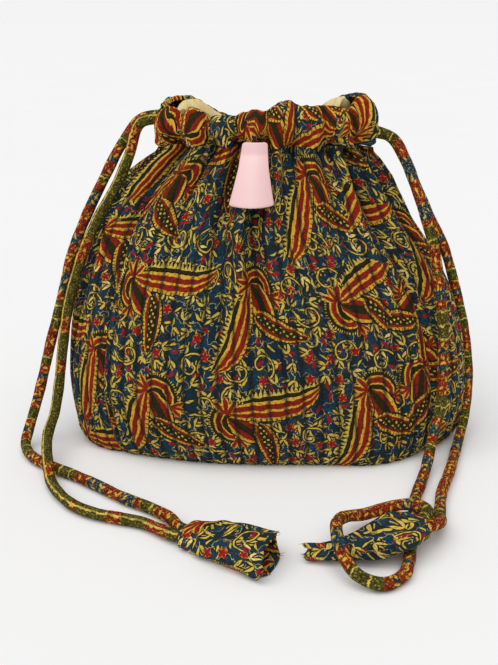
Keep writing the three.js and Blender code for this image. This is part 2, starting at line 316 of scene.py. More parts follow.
def curls(ground, place):
    x, y, r = scatter(place, 27.0, 205.0)
    curl = abs(length_of(x, y) - 5.5 - x.math("ARCTAN2", y) * 1.3)
    ground = paint(ground, OLIVE, (curl < 1.3) * (r < 0.7))
    return paint(ground, STRAW, (curl < 0.5) * (r < 0.7))


def print_on(place, motif_place):
    """The whole print. place and motif_place are coordinates on the flat cloth, in mm."""
    wobble = vector("SUBTRACT", noise(place, 0.16, 1.0, out=1), (0.5, 0.5, 0.5))
    place = vector("MULTIPLY_ADD", wobble, (1.7, 1.7, 0), place)
    cloud = noise(place, 0.07, 3.0)
    ground = paint(TEAL, DEEP, ((cloud - 0.42) * 4).clip(0.0, 0.55))
    stem = (cloud * 8).math("PINGPONG", 1.0)
    ground = paint(ground, OLIVE, (stem > 0.86) * 0.8)
    ground = paint(ground, STRAW, (stem < 0.06) * 0.85)
    for small_print in (crescents, sprouts, flowers, curls):
        ground = small_print(ground, place)
    p, q = motif_place.parts()
    wx, wy = wobble.parts()
    fx, fy = noise(place, 0.9, 2.0, out=1).parts()
    colour = motif(ground, p + wx * 2.0 + fx * 0.8, q + wy * 2.0 + fy * 0.8)
    worn = noise(place, 0.5, 4.0)
    return paint(colour, BROWN, ((worn - 0.5) * 3.2).clip(0.0, 0.6))


# %% Cloth surface
UV_MM = 100.0


def flat_mm(name):
    """A UV map of the flat cloth, one unit to UV_MM, read back in mm."""
    uv = Val.node("UVMap", {"uv_map": name})
    return Val.node("VectorMath", {"operation": "SCALE"}, {0: uv, "Scale": UV_MM})


def weave(place, threads=0.55, depth=0.00006):
    """The over and under of plain woven cotton, as a normal."""
    x, y = place.parts()
    cloth = (x * (2 * math.pi / threads)).math("SINE") * (y * (2 * math.pi / threads)).math("SINE")
    height = cloth * 0.25 + noise(place, 0.35, 4.0)
    return Val.node("Bump", inputs={"Strength": 0.6, "Distance": depth * 4, "Height": height})


def matt(colour, roughness, normal, shine=0.1):
    """The Principled inputs of cloth."""
    return {"Base Color": colour, "Roughness": roughness, "Normal": normal, "Specular IOR Level": shine}


# %% Cotton finishes
QUILT_STEP = 11.5
QUILT_THREAD = dye("20394a")
CORD_OLIVE, CORD_RUST, CORD_TEAL = dye("4d4a1b"), dye("8a2613"), dye("1c4050")


def quilted_cotton():
    place = flat_mm("cloth")
    x, y = place.parts()
    from_line = abs((x / QUILT_STEP).math("FLOORED_MODULO", 1.0) - 0.5) * -QUILT_STEP + QUILT_STEP / 2
    colour = print_on(place, flat_mm("motif"))
    # Painted shade: within 2.2 mm of each quilting line the colour is darkened towards BROWN, as shadow
    # lying in the valleys between the puffs.
    colour = paint(colour, BROWN, (1.0 - from_line / 2.2).math("MAXIMUM", 0.0) * 0.85)
    thread = (from_line < 0.22) * (y.math("FLOORED_MODULO", 2.9) < 2.1)
    colour = paint(colour, QUILT_THREAD, thread)
    return matt(colour, 0.88, weave(place, depth=0.00015))


def plain_cotton():
    place = flat_mm("cloth")
    colour = print_on(place, flat_mm("motif"))
    return matt(colour, 0.85, weave(place))


def cord_cotton(seam):
    """Cut across the print, a narrow strip shows bands of its border. seam draws the edge stripe."""

    def make():
        place = flat_mm("cloth")
        x, y = place.parts()
        blot = noise(place, 0.25, 3.0)
        field = Val.node("TexNoise", {"noise_dimensions": "1D"}, {"W": x / 27, "Scale": 1.0, "Detail": 0.0})
        first, second = 0.42 + 0.2 * seam, 0.58 + 0.12 * seam
        stretches = (0, CORD_OLIVE), (first, CORD_RUST), (second, CORD_TEAL), (0.7, CORD_RUST)
        colour = bands(field + (blot - 0.5) * 0.02, *stretches)
        u, v, r = scatter(place, 5.2, 11.0)
        d, _ = leaf(u, v, (-2.2, 0), 0, 4.4, 0.95, 0.3, 0.6, 0.7)
        floral = (field > first) * (r < 0.85)
        colour = paint(colour, GOLD, (abs(d) < 1) * floral)
        band = abs((x / 9.5 + blot * 0.5).math("FLOORED_MODULO", 1.0) - 0.5)
        colour = paint(colour, STRAW, (band < 0.06) * (field < first) * (1 - seam))
        colour = paint(colour, STRAW, (abs(y - 9 - blot * 2) < 0.75) * seam)
        fleck = noise(place, 0.8, 3.0)
        colour = paint(colour, STRAW, ((fleck - 0.6) * 9).clip(0.0, 0.55))
        colour = paint(colour, BROWN, ((0.44 - fleck) * 8).clip(0.0, 0.6))
        colour = paint(colour, BROWN, ((blot - 0.48) * 4).clip(0.0, 0.55))
        return matt(colour, 0.88, weave(place))

    return make


def lining_cotton():
    place = flat_mm("cloth")
    stain = ((noise(place, 0.09, 2.0) - 0.58) * 6).clip(0.0, 0.7)
    colour = paint(dye("e9d79a"), dye("dcb08e"), stain)
    return matt(colour, 0.9, weave(place, 0.7), 0.15)


def label_hide():
    place = flat_mm("cloth")
    x, _ = place.parts()
    grain = noise(place, 1.6, 5.0)
    # Painted highlight: the middle of the tab is lighter (f3d0cf over eabcbc), a sheen on its curved face,
    # mixed with a little random tone from noise.
    painted_highlight_and_tone = (1.0 - abs(x) / 13).math("MAXIMUM", 0.0) * 0.7 + noise(place, 0.05, 1.0) * 0.3
    colour = paint(dye("eabcbc"), dye("f3d0cf"), painted_highlight_and_tone)
    normal = Val.node("Bump", inputs={"Strength": 0.25, "Distance": 0.0003, "Height": grain})
    return {"Base Color": colour, "Roughness": grain * 0.15 + 0.38, "Normal": normal}


QUILTED = finish_of("quilted printed cotton", quilted_cotton)
PRINTED = finish_of("printed cotton", plain_cotton)
BANDED = finish_of("banded cord cotton", cord_cotton(0))
STRIPED = finish_of("striped cord cotton", cord_cotton(1))
LINING = finish_of("cream lining cotton", lining_cotton)
LABEL = finish_of("smooth pink hide", label_hide)

# %% [markdown]
# ## Cloth as grids
# Every sheet is a grid of points with columns across and rows up. `sheet_solid` closes a front grid and a
# back grid into one solid, so the cloth has a real edge. It carries two UV maps in flat cloth size: one
# for the weave and the small print, and one that measures from the nearest large motif, face by face.


# %% Sheet builder
MOTIF_STEP, MOTIF_ROW, MOTIF_DROP, MOTIF_JITTER = 74, 82, 20, 6
MOTIF_MIDDLE, MOTIF_REACH = (20, 13), (38, 31)


def lattice(seed, first=0):
    """Motif places that repeat over any stretch of cloth: s, t, the blade's angle and its side."""
    jitter = np.random.default_rng(seed)
    spots = []
    for i in range(-3, 14):
        for j in range(-2, 7):
            blade, side = ((268, 1), (3, -1))[(i + j + first) % 2]
            ds, dt, dr = jitter.uniform(-MOTIF_JITTER, MOTIF_JITTER, 3)
            along = i * MOTIF_STEP + (j % 2) * MOTIF_DROP + ds
            spots.append((along, j * MOTIF_ROW + dt, blade + 2 * dr, side))
    return spots


def motif_corners(corners, spots):
    """Each face's corners measured along and across the blade of the nearest motif."""
    s, t, blade, side = np.array(spots, float).T
    c, n = np.cos(np.radians(blade)), np.sin(np.radians(blade))
    middle = corners.mean(1)
    ds, dt = middle[:, :1] - s, middle[:, 1:] - t
    p, q = ds * c + dt * n, side * (dt * c - ds * n)
    away = ((p - MOTIF_MIDDLE[0]) / MOTIF_REACH[0]) ** 2 + ((q - MOTIF_MIDDLE[1]) / MOTIF_REACH[1]) ** 2
    best = away.argmin(1)
    ds, dt = corners[..., 0] - s[best, None], corners[..., 1] - t[best, None]
    c, n, side = c[best, None], n[best, None], side[best, None]
    return np.stack([ds * c + dt * n, side * (dt * c - ds * n)], -1)


def sheet_solid(name, front, back, flat, finish, spots, ring=False, nodes=()):
    """A closed sheet from two grids [columns, rows, 3] in mm. flat holds its flat size, in mm."""
    columns, rows = front.shape[:2]
    points = np.concatenate([front.reshape(-1, 3), back.reshape(-1, 3)]) * MM
    i, j = np.meshgrid(np.arange(columns if ring else columns - 1), np.arange(rows - 1), indexing="ij")
    at = lambda a, b: (a % columns) * rows + b
    uv = lambda a, b: flat[a, b] if ring else flat[a % columns, b]
    corners = (i, j), (i + 1, j), (i + 1, j + 1), (i, j + 1)
    quads = [np.stack([at(*corner) for corner in corners], -1).reshape(-1, 4)]
    maps = [np.stack([uv(*corner) for corner in corners], -2).reshape(-1, 4, 2)]
    quads.append(quads[0][:, ::-1] + columns * rows)
    maps.append(maps[0][:, ::-1])
    edges = [(np.arange(i.shape[0]), 0, 1, 0), (np.arange(i.shape[0]), rows - 1, 1, 0)]
    if not ring:
        edges += [(0, np.arange(rows - 1), 0, 1), (columns - 1, np.arange(rows - 1), 0, 1)]
    for k, (a, b, da, db) in enumerate(edges):
        a, b = np.broadcast_arrays(a, b)
        low, high = at(a, b), at(a + da, b + db)
        face = np.stack([low, low + columns * rows, high + columns * rows, high], -1)
        edge = np.stack([uv(a, b), uv(a, b), uv(a + da, b + db), uv(a + da, b + db)], -2)
        turn = k in (1, 2)
        quads.append(face[:, ::-1] if turn else face)
        maps.append(edge[:, ::-1] if turn else edge)
    quads, maps = np.concatenate(quads), np.concatenate(maps)
    return cloth_piece(name, points, quads, maps, finish, spots, nodes)


def cloth_piece(name, points, quads, maps, finish, spots, nodes):
    """A smooth mesh of quads with its two UV maps, riding on the pouch."""
    mesh = bpy.data.meshes.new(name)
    mesh.from_pydata(points.tolist(), [], quads.tolist())
    for label, values in (("cloth", maps), ("motif", motif_corners(maps, spots))):
        layer = mesh.uv_layers.new(name=label)
        layer.data.foreach_set("uv", (values.reshape(-1) / UV_MM).astype(np.float32))
    mesh.polygons.foreach_set("use_smooth", np.ones(len(quads), bool))
    mesh.materials.append(finish)
    mesh.update()
    made = bpy.data.objects.new(name, mesh)
    scene.collection.objects.link(made)
    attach(made, "root")
    if nodes:
        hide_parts(*nodes)
    print(name, "has", 2 * len(quads), "triangles")
    return made


# %% [markdown]
# ## The shape of the pouch
# The wall follows an oval that is widest a little above the floor and narrows to the neck. The cloth has
# the same girth all the way up, so above the belly it has to go somewhere: it lies in folds that deepen
# towards the neck. A cloth simulation could find such folds, but the photograph shows where they lie, so
# they are set as a wave around the oval with sharp hollows and broad crests.

# %% Oval, folds and wall
GIRTH = 704.0
FOOT_Z, BELLY_Z, NECK_Z, WALL_TOP = 0.4, 48.0, 208.0, 212.0
FOOT_HALF, NECK_HALF = (133, 61), (76, 38)
LABEL_AT = 0.723
FOLDS, FOLD_DEPTH, HOLLOW_MOST = 18, 10.0, 9
BACK_SAG = 10.5
TUCK_IN, DIP = 2.5, 4.5
FOOT_FLARES = [(12.0, 0.862, 0.055), (3.0, 0.66, 0.07), (2.5, 0.76, 0.06), (7.0, 0.545, 0.05)]


def unit(vectors):
    return vectors / np.linalg.norm(vectors, axis=-1, keepdims=True)


def way_of(line):
    """The distance walked along a line of points, or of rows of points, from 0."""
    steps = np.linalg.norm(np.diff(line, axis=0), axis=-1)
    return np.concatenate([np.zeros_like(steps[:1]), np.cumsum(steps, 0)])


def hump(value, middle, width, power=2):
    """1 at the middle, falling to 0 on both sides."""
    return np.exp(-(((value - middle) / width) ** power))


def rise(z):
    """0 up to the belly and 1 at the neck."""
    return np.clip((z - BELLY_Z) / (NECK_Z - BELLY_Z), 0, 1)


def oval(z):
    """The wall's half width and half depth."""
    swell, taper = np.sin(np.pi / 2 * np.minimum(z / BELLY_Z, 1)), rise(z) ** 1.9
    a, b = FOOT_HALF[0] + 9 * swell, FOOT_HALF[1] + 16 * swell
    return a + (NECK_HALF[0] - a) * taper, b + (NECK_HALF[1] - b) * taper


def around(share, z):
    """Points on the oval at height z by their share of its girth, and the outward directions."""
    a, b = oval(z)
    t = np.linspace(0, 2 * np.pi, 1441)
    walk = way_of(np.stack([a * np.cos(t), b * np.sin(t)], 1))
    turn = np.interp(np.mod(share, 1) * walk[-1], walk, t)
    out = unit(np.stack([b * np.cos(turn), a * np.sin(turn)], -1))
    return np.stack([a * np.cos(turn), b * np.sin(turn)], -1), out


def wave(share, *parts):
    """A few sines around the girth: (times round, start, height)."""
    return sum(height * np.sin(2 * np.pi * times * share + start) for times, start, height in parts)


def fold(share):
    """1 on a crest and -1 in a hollow."""
    phase = 2 * np.pi * FOLDS * (share - LABEL_AT) + wave(share - LABEL_AT, (3, 0, 0.9), (5, 0, 0.7))
    sharp = 2 * np.abs(np.cos(phase / 2)) - 1
    return 0.6 * sharp + 0.4 * np.cos(phase)


def fold_offset(share, z):
    """How far the folded cloth stands out from the oval. Hollows stop short of the lining."""
    size = 1 + wave(share, (4, 2.0, 0.28), (7, 0.6, 0.25), (11, 1.0, 0.15))
    fade = 1.75 + wave(share, (5, 0.3, 0.4), (9, 1.7, 0.3))
    belly = (wave(share, (3, 0.9, 1.2), (6, 2.2, 0.9)) - 2.6) * np.sin(np.pi * np.clip(z / 190, 0, 1))
    gather = wave(share, (41, 0.4, 0.8), (53, 1.9, 0.7), (67, 0.9, 0.5))
    gather = gather * np.clip((z - 165) / 45, 0, 1) ** 2
    pinch = -2.2 * hump(z, WALL_TOP, 6)
    deep = FOLD_DEPTH * size * rise(z) ** fade * (fold(share) - 0.35)
    deep = np.where(deep < 0, HOLLOW_MOST * np.tanh(deep / HOLLOW_MOST), deep)
    return deep + belly + gather + pinch


def lean(z):
    """The pouch leans a little: its left shoulder is fuller and its right foot stands out."""
    return np.interp(z, [0, 20, 48, 110, 158, 185, 212], [4.5, 3.5, 0.5, -1.5, -5.5, -3.0, -0.5])


def shoulder(x, z):
    """The right shoulder is slimmer than the oval, and so is the very top of the left one."""
    right = np.interp(z, [90, 115, 135, 160, 180, 195, 212], [0, 1.5, 3.5, 8.0, 10.0, 10.5, 10.5])
    left = np.interp(z, [185, 212], [0, 6.5])
    return np.where(x > 0, -right * np.clip(x / 70, 0, 1) ** 2, left * np.clip(-x / 70, 0, 1) ** 2)


def sag(share, z):
    """The back of the mouth hangs lower than the front."""
    near = hump(np.mod(share, 1), 0.25, 0.115, 4)
    return BACK_SAG * near * np.clip((z - 150) / 58, 0, 1) ** 2


def side_mouth(share, z):
    """Beside the drawstrings' exits the wall's top edge dips and tucks in."""
    near = hump(np.abs(np.mod(share, 0.5) - 0.25), 0.25, 0.03)
    return near * np.clip((z - 188) / 24, 0, 1)


def foot_flare(share, z):
    """The foot is squarer than an oval: fuller at the front corners than the wall above it."""
    full = sum(size * hump(np.mod(share, 1), middle, width) for size, middle, width in FOOT_FLARES)
    return full * np.clip(1 - z / BELLY_Z, 0, 1) ** 1.3


def wall(share, z, offset):
    """Points of the wall for arrays of share [columns], height [rows] and offset [columns, rows]."""
    grid = np.zeros((len(share), len(z), 3))
    for row, height in enumerate(z):
        point, out = around(share, height)
        push = offset[:, row] + foot_flare(share, height) - TUCK_IN * side_mouth(share, height)
        grid[:, row, :2] = point + out * push[:, None]
        grid[:, row, 0] += lean(height) + shoulder(grid[:, row, 0], height)
        grid[:, row, 2] = height - sag(share, height) - DIP * side_mouth(share, height)
    return grid


def cloth_round(share, z):
    """Where each point is on the flat cloth around the girth: its way along the folded line."""
    whole = np.linspace(0, 1, 1801)
    offset = np.stack([fold_offset(whole, height) for height in z], 1)
    ring = wall(whole, z, offset)
    way = way_of(ring[..., :2])
    way *= GIRTH / way[-1]
    flat = np.stack([np.interp(np.mod(share, 1), whole, way[:, k]) for k in range(len(z))], 1)
    label = np.array([np.interp(LABEL_AT, whole, way[:, k]) for k in range(len(z))])
    flat += (LABEL_AT * GIRTH - label)[None, :]
    return np.where(share[:, None] < 0, flat - GIRTH, flat)


def up_cloth(grid):
    """Each point's distance from the foot, along the cloth."""
    return way_of(grid.swapaxes(0, 1)).T


# %% [markdown]
# ## Quilted panels
# Four panels make the wall: front, back and a gusset at each side, joined by seams that sink into the
# wadding. Rows of stitching 11.5 mm apart run up the cloth, and between two rows the wadding stands up
# like a small pillow. That relief is in the mesh, so it shows on the outline too.

# %% Wall panels
WALL_ROWS = np.concatenate([np.linspace(FOOT_Z, 9, 9), np.linspace(10.8, WALL_TOP, 112)])
COLUMN, SEAM_GAP, PANEL_UP = 1.05, 0.0003, 0.225
PUFF, WADDING = 1.9, 2.6
FRONT_MOTIFS = [
    (522.5, 130, 257, 1), (425.0, 130, -8, -1), (501.2, 43, 2, -1), (598.5, 56, 262, 1),
    (588.0, 116, 22, -1), (588.0, 202, 258, 1), (431.0, 206, 236, 1), (447.7, 57, 252, 1),
    (641.0, 66, 300, -1), (655.0, 116, 250, -1), (640.0, 205, 240, 1), (395.0, 40, 240, 1),
    (500.0, 226, 200, 1), (380.0, 215, 250, 1),
]  # fmt: skip


def quilted_panel(name, first, last, spots, node, turned=0.0):
    count = int((last - first) * GIRTH / COLUMN)
    share = np.linspace(first + SEAM_GAP, last - SEAM_GAP, count)
    around_cloth = cloth_round(share, WALL_ROWS)
    folds = np.stack([fold_offset(share, z) for z in WALL_ROWS], 1)
    from_line = np.abs(np.mod(around_cloth / QUILT_STEP, 1) - 0.5) * 2
    puff = PUFF * np.sqrt(np.clip(1 - from_line**2, 0, 1)) * (1 - 0.45 * rise(WALL_ROWS) ** 3)
    edge = np.minimum(share - first, last - share)[:, None] * GIRTH
    seam = -2.4 * hump(edge, 0, 2.6)
    foot = -5.0 * np.clip(1 - WALL_ROWS / 11, 0, 1) ** 2
    front = wall(share, WALL_ROWS, folds + puff + seam + foot)
    back = wall(share, WALL_ROWS, folds + seam * 0.3 + foot - WADDING)
    up = up_cloth(wall(share, WALL_ROWS, np.zeros_like(folds)))
    flat = np.stack([around_cloth + turned, up], -1)
    made = sheet_solid(name, front, back, flat, QUILTED, spots, nodes=[node])


quilted_panel("front_quilt", 0.579, 0.921, FRONT_MOTIFS, "front_panel")
quilted_panel("back_quilt", 0.079, 0.421, lattice(3), "back_panel")
quilted_panel("left_gusset", 0.421, 0.579, lattice(5, 1), "left_side_panel", 31 * QUILT_STEP)
quilted_panel("right_gusset", -0.079, 0.079, lattice(9), "right_side_panel", 40 * QUILT_STEP)

# %% [markdown]
# ## Base
# The base is an oval of the same quilted cloth, with an oval of cream lining on top of it. The wall's
# foot tucks in around its edge.


# %% Base pads
def oval_pad(name, inset, bottom, top, finish, node, quilted):
    share = np.linspace(0, 1, 181)[:-1]
    point, out = around(share, FOOT_Z)
    rim = point - out * (inset - foot_flare(share, FOOT_Z))[:, None]
    reach = np.concatenate([np.linspace(0.03, 0.94, 34), [0.975, 0.993, 1.0]])
    flat = rim[:, None, :] * reach[None, :, None]
    flat = np.concatenate([flat, flat[:1]])
    ribs = np.abs(np.mod(flat[:-1, :, 0] / QUILT_STEP, 1) - 0.5) * 2
    puff = quilted * np.sqrt(np.clip(1 - ribs**2, 0, 1))
    curl = (top - bottom) * 0.5 * np.clip((reach - 0.94) / 0.06, 0, 1) ** 2
    high = np.concatenate([flat[:-1], np.broadcast_to(top - curl, puff.shape)[..., None]], -1)
    low = np.concatenate([flat[:-1], (bottom + curl + puff * 0.5)[..., None]], -1)
    for grid in (high, low):
        grid[..., 0] += lean(FOOT_Z)
    made = sheet_solid(name, low, high, flat, finish, lattice(2), ring=True, nodes=[node])


oval_pad("base_quilt", 6.6, 0.0, 3.0, QUILTED, "base_panel", 0.6)
oval_pad("lining_floor", 8.2, 3.3, 4.4, LINING, "lining_base", 0.0)

# %% [markdown]
# ## Gathered casing
# The casing is the pouch's most skilful seam: a strip of unquilted print, folded over two drawstrings
# that run opposite ways, and drawn up into puffs. Each puff is round between two sharp creases, and its
# top edge stands at its own height. Creases and heights are listed for the front, where they are seen.

# %% Casing strips
FRONT_CREASES = [0.536, 0.591, 0.645, 0.699, 0.752, 0.800, 0.852, 0.905, 0.964]
BACK_CREASES = [0.036, 0.095, 0.15, 0.2, 0.245, 0.3, 0.35, 0.405, 0.464]
FRONT_RIM = [
    (0.53, 24), (0.552, 27.2), (0.569, 28.8), (0.583, 26.5), (0.591, 21.6), (0.600, 26.5), (0.615, 28.9),
    (0.633, 26.5), (0.645, 21.8), (0.655, 23.5), (0.675, 24.4), (0.694, 23.4), (0.705, 25.5), (0.732, 28),
    (0.748, 26), (0.755, 28), (0.767, 31.5), (0.787, 34), (0.799, 31.5), (0.806, 30), (0.825, 29.6),
    (0.857, 29.8), (0.884, 28.9), (0.9, 26), (0.906, 25.5), (0.915, 33), (0.928, 36), (0.948, 33),
    (0.97, 26),
]  # fmt: skip
BACK_RIM = [
    (0.03, 31), (0.06, 35), (0.097, 33), (0.15, 28), (0.2, 27), (0.25, 28), (0.3, 26.5), (0.35, 28.5),
    (0.40, 33), (0.44, 32), (0.47, 28),
]  # fmt: skip
CASING_CLOTH, PUFF_ROW, FINE_GATHERS = 0.8, 25, 1.15


def puff_of(share, creases):
    """1 on top of a puff and -1 in the crease beside it."""
    k = np.clip(np.searchsorted(creases, share) - 1, 0, len(creases) - 2)
    place = (share - np.take(creases, k)) / (np.take(creases, k + 1) - np.take(creases, k))
    return 2 * np.abs(np.sin(np.pi * np.clip(place, 0, 1))) ** 0.62 - 1


def level_out(values, count):
    """A running mean over an odd count of values."""
    return np.convolve(np.pad(values, count // 2, mode="edge"), np.ones(count) / count, "valid")


def smooth_line(stations, per):
    """A rounded line through stations [..., stations, 2]."""
    padded = np.concatenate([2 * stations[..., :1, :] - stations[..., 1:2, :], stations,
                             2 * stations[..., -1:, :] - stations[..., -2:-1, :]], -2)  # fmt: skip
    a, b, c, d = (padded[..., k : k + stations.shape[-2] - 1, :] for k in range(4))
    runs = []
    for u in np.linspace(0, 1, per, endpoint=False):
        square, cube = 2 * a - 5 * b + 4 * c - d, 3 * b - a - 3 * c + d
        runs.append(0.5 * (2 * b + (c - a) * u + square * u**2 + cube * u**3))
    line = np.stack(runs, -2).reshape(*stations.shape[:-2], -1, stations.shape[-1])
    return np.concatenate([line, stations[..., -1:, :]], -2)


def casing_strip(name, creases, rim, spots, node):
    share = np.linspace(creases[0] - 0.014, creases[-1] + 0.014, 340)
    high = level_out(np.interp(share, *np.array(rim).T), 9)
    puff = puff_of(share, np.array(creases))
    crinkle = wave(share, (43, 0.2, 0.9), (61, 1.0, 0.7), (83, 2.0, 0.35))
    crinkle = crinkle * (1 + 0.5 * wave(share, (9, 0.0, 1.0)))
    seam_fold = fold_offset(share, NECK_Z)
    mid = 2.5 + 3.7 * puff
    one = 1 + 0.12 * crinkle
    stations = [
        (seam_fold - 1.6, 2.6 * one),
        (seam_fold + 0.6 + 0.5 * crinkle, 4.4 * one),
        (0.45 * mid + 0.6 * seam_fold + 1.0 * crinkle, 8.0 * one),
        (mid + 0.9 + 0.8 * crinkle, 0.45 * high + 2),
        (mid + 0.9 + 0.5 * crinkle, 0.72 * high + 1),
        (mid - 1.6, high - 2.6),
        (-2.2 + 1.4 * puff + 0.4 * crinkle, high + 0.3 * crinkle),
        (-4.6 + 0.9 * puff, high - 0.5),
        (-6.2 + 0.6 * puff, high - 2.4),
    ]
    line = smooth_line(np.stack([np.stack(s, -1) for s in stations], 1), 6)
    along = unit(np.gradient(line, axis=1))
    face = np.stack([along[..., 1], -along[..., 0]], -1)
    point, out = around(share, NECK_Z)

    def place(section):
        flat_xy = point[:, None, :] + out[:, None, :] * section[..., :1]
        height = NECK_Z + section[..., 1:] - sag(share, NECK_Z)[:, None, None]
        grid = np.concatenate([flat_xy, height], -1)
        grid[..., 0] += lean(WALL_TOP)
        return grid

    front, back = place(line), place(line - CASING_CLOTH * face)
    across = way_of(front[:, PUFF_ROW]) * FINE_GATHERS
    flat = np.stack([np.broadcast_to(across[:, None], front.shape[:2]), up_cloth(front)], -1)
    made = sheet_solid(name, front, back, flat, PRINTED, spots, nodes=[node])


casing_strip("front_casing", FRONT_CREASES, FRONT_RIM, [
    (22, 30, 255, 1), (52, 12, 100, -1), (112, 20, 350, 1), (150, 2, 80, 1), (205, 22, 200, -1),
    (232, 12, 90, 1),
], "casing_front")  # fmt: skip
casing_strip("back_casing", BACK_CREASES, BACK_RIM, lattice(4), "casing_back")

# %% [markdown]
# ## Lining
# The cream lining follows the wall, clear of the folds, and comes up behind the casing to just under its
# rim, so it shows at both ends of the mouth.

# %% Lining wall
LINING_TOP, LINING_BEND, LINING_THICK, LINING_BELOW_RIM = 227.0, 200, 0.7, 2.2
RIM_LINE = np.array(BACK_RIM + FRONT_RIM)


def rim_at(share):
    """The casing rim's height above the neck."""
    return np.interp(np.mod(share, 1), *RIM_LINE.T, period=1)


wall_part = np.linspace(4.6, LINING_BEND, 50)
lining_rows = np.concatenate([wall_part, np.linspace(204, LINING_TOP, 8)])
lining_share = np.linspace(0, 1, 361)[:-1]
depth = np.array([fold_offset(lining_share, z).min() for z in lining_rows]) - 3.4
depth = np.minimum(depth, np.interp(lining_rows, [0, 5, 11], [-9.0, -7.5, 0]))
last = depth[len(wall_part) - 1]
mouth_depth = [last, last, -15.5, -12.0, -11.8, -6.8]
mouth_depth = np.interp(lining_rows, [LINING_BEND, 206, 213, 219, 223, LINING_TOP], mouth_depth)
depth = np.where(lining_rows > LINING_BEND, mouth_depth, depth)
ripple = wave(lining_share, (17, 0.4, 0.5), (31, 1.0, 0.3))[:, None] * rise(lining_rows) ** 2
to_rim = NECK_Z + rim_at(lining_share) - LINING_BELOW_RIM - LINING_TOP
lift = to_rim[:, None] * np.clip((lining_rows - LINING_BEND) / (LINING_TOP - LINING_BEND), 0, 1)
lining = wall(lining_share, lining_rows, depth + ripple)
inside = wall(lining_share, lining_rows, depth + ripple - LINING_THICK)
for grid in (lining, inside):
    grid[..., 2] += lift
flat = np.stack(np.broadcast_arrays(np.linspace(0, GIRTH, 361)[:, None], lining_rows), -1)
lining_cloth = sheet_solid("lining_cloth", lining, inside, flat, LINING, lattice(2), ring=True,
                           nodes=["lining_wall"])  # fmt: skip

# %% [markdown]
# ## Drawstrings
# Each drawstring is a strip of the print sewn into a round tube. It runs once round the mouth in the
# casing, leaves on its own side as two strands, and both strands end in a folded cloth sleeve. The free
# strands repeat the route of the CAD solids. A curve with a bevel would be quicker, but a tube of rings
# can carry the print on its flat-cloth UV and swell a little, as a turned tube does.

# %% Cord routes
F = 4.5  # the middle of a strand that lies on the floor
LEFT_BACK = [
    (-60, -146, F), (-73, -133, F), (-90, -120, F), (-108, -103, F), (-126, -87, F), (-140, -76, F),
    (-154, -64, F), (-164, -50, F), (-169, -36, 6), (-168, -24, 14), (-163, -18, 31), (-157, -15, 53),
    (-151, -13, 76), (-143, -11, 103), (-135, -8, 134), (-124, -5, 161), (-111, 0, 187), (-99, 5, 209),
    (-85, 9, 226),
]  # fmt: skip
LEFT_FRONT = [
    (-84, -10, 225), (-92, -13, 204), (-101, -16, 184), (-114, -18, 162), (-125, -18, 139),
    (-134, -18, 113), (-139, -18, 92), (-143, -19, 68), (-146, -20, 46), (-149, -27, 26),
    (-151, -44, 17), (-149, -61, 14), (-145, -80, 10), (-140, -97, 5), (-131, -115, F), (-119, -131, F),
    (-105, -141, F), (-90, -147, F), (-75, -153, F),
]  # fmt: skip
RIGHT_FRONT = [
    (84, -10, 215), (92, -16, 202), (98, -24, 186), (105, -33, 165), (111, -40, 142), (115, -44, 116),
    (118, -46, 92), (119, -47, 66), (118, -51, 40), (112, -60, 18), (106, -77, 7), (99, -98, F),
    (92, -120, F), (88, -141, F), (84, -161, F), (80, -181, F), (76, -199, F), (71, -213, F),
    (59, -222, F), (46, -219, 8), (38.5, -207, 14.5), (36.5, -190, 19.5), (39, -174, 17),
    (46, -159, 12), (56, -151, 9), (67, -146.5, 10), (78, -144.5, 12), (86, -147, 13.5),
    (91.2, -152.5, 14.5), (92.8, -160, 15),
]  # fmt: skip
RIGHT_BACK = [
    (100, -162, 10), (103, -144, F), (110, -112, F), (121, -80, F), (131, -48, 5), (140, -22, 12),
    (146, -6, 28), (147, 3, 52), (143, 8, 80), (136, 10, 107), (126, 10, 137), (113, 9, 162),
    (101, 9, 187), (93, 9, 203), (84, 9, 214),
]  # fmt: skip
CORD, CORD_WALL, GRIP_PLAY, GRIP_DEPTH = 8.0, 1.2, 0.3, 12
UP = (0, 0, 1.0)
# A sleeve's rings: middle x, y and z, half width and half height.
LEFT_SLEEVE = [
    (-47, -170, 6.3, 11.2, 6.3), (-36, -177, 7.7, 13, 7.5), (-22, -186, 8.7, 15.5, 8.5),
    (3, -201, 9.2, 19, 9),
]  # fmt: skip
RIGHT_SLEEVE = [
    (84, -176, 15.2, 11.2, 6.3), (72, -185, 16.4, 15, 7), (56, -190, 12.2, 12, 7),
    (38, -191, 7.0, 6.4, 4.6), (21, -189, 5.0, 4.6, 4.0),
]  # fmt: skip


def spaced(points, step):
    """Evenly spaced points on a smooth line through a route, in mm."""
    points = np.array(points, float)
    gaps = np.linalg.norm(np.diff(points, axis=0), axis=1) ** 0.5
    knots = np.concatenate([[0], np.cumsum(gaps)])
    slopes = np.gradient(points, knots, axis=0)
    fine = np.linspace(0, knots[-1], 40 * len(points))
    k = np.clip(np.searchsorted(knots, fine, "right") - 1, 0, len(points) - 2)
    h = (knots[k + 1] - knots[k])[:, None]
    u = (fine - knots[k])[:, None] / h
    line = ((2 * u**3 - 3 * u**2 + 1) * points[k] + (u**3 - 2 * u**2 + u) * h * slopes[k]
            + (3 * u**2 - 2 * u**3) * points[k + 1] + (u**3 - u**2) * h * slopes[k + 1])  # fmt: skip
    way = way_of(line)
    even = np.linspace(0, way[-1], max(int(way[-1] / step), 4) + 1)
    return np.stack([np.interp(even, way, line[:, k]) for k in range(3)], 1), way[-1]


def grip(rings, sign):
    """A strand's straight end in the sleeve, from just outside its mouth to the end inside."""
    first, second = np.array(rings)[:2, :3]
    inward = unit(second - first)
    mouth = first + unit(np.cross(inward, UP)) * sign * (CORD / 2 + GRIP_PLAY)
    return [mouth + inward * depth for depth in (-CORD, 0, GRIP_DEPTH)]


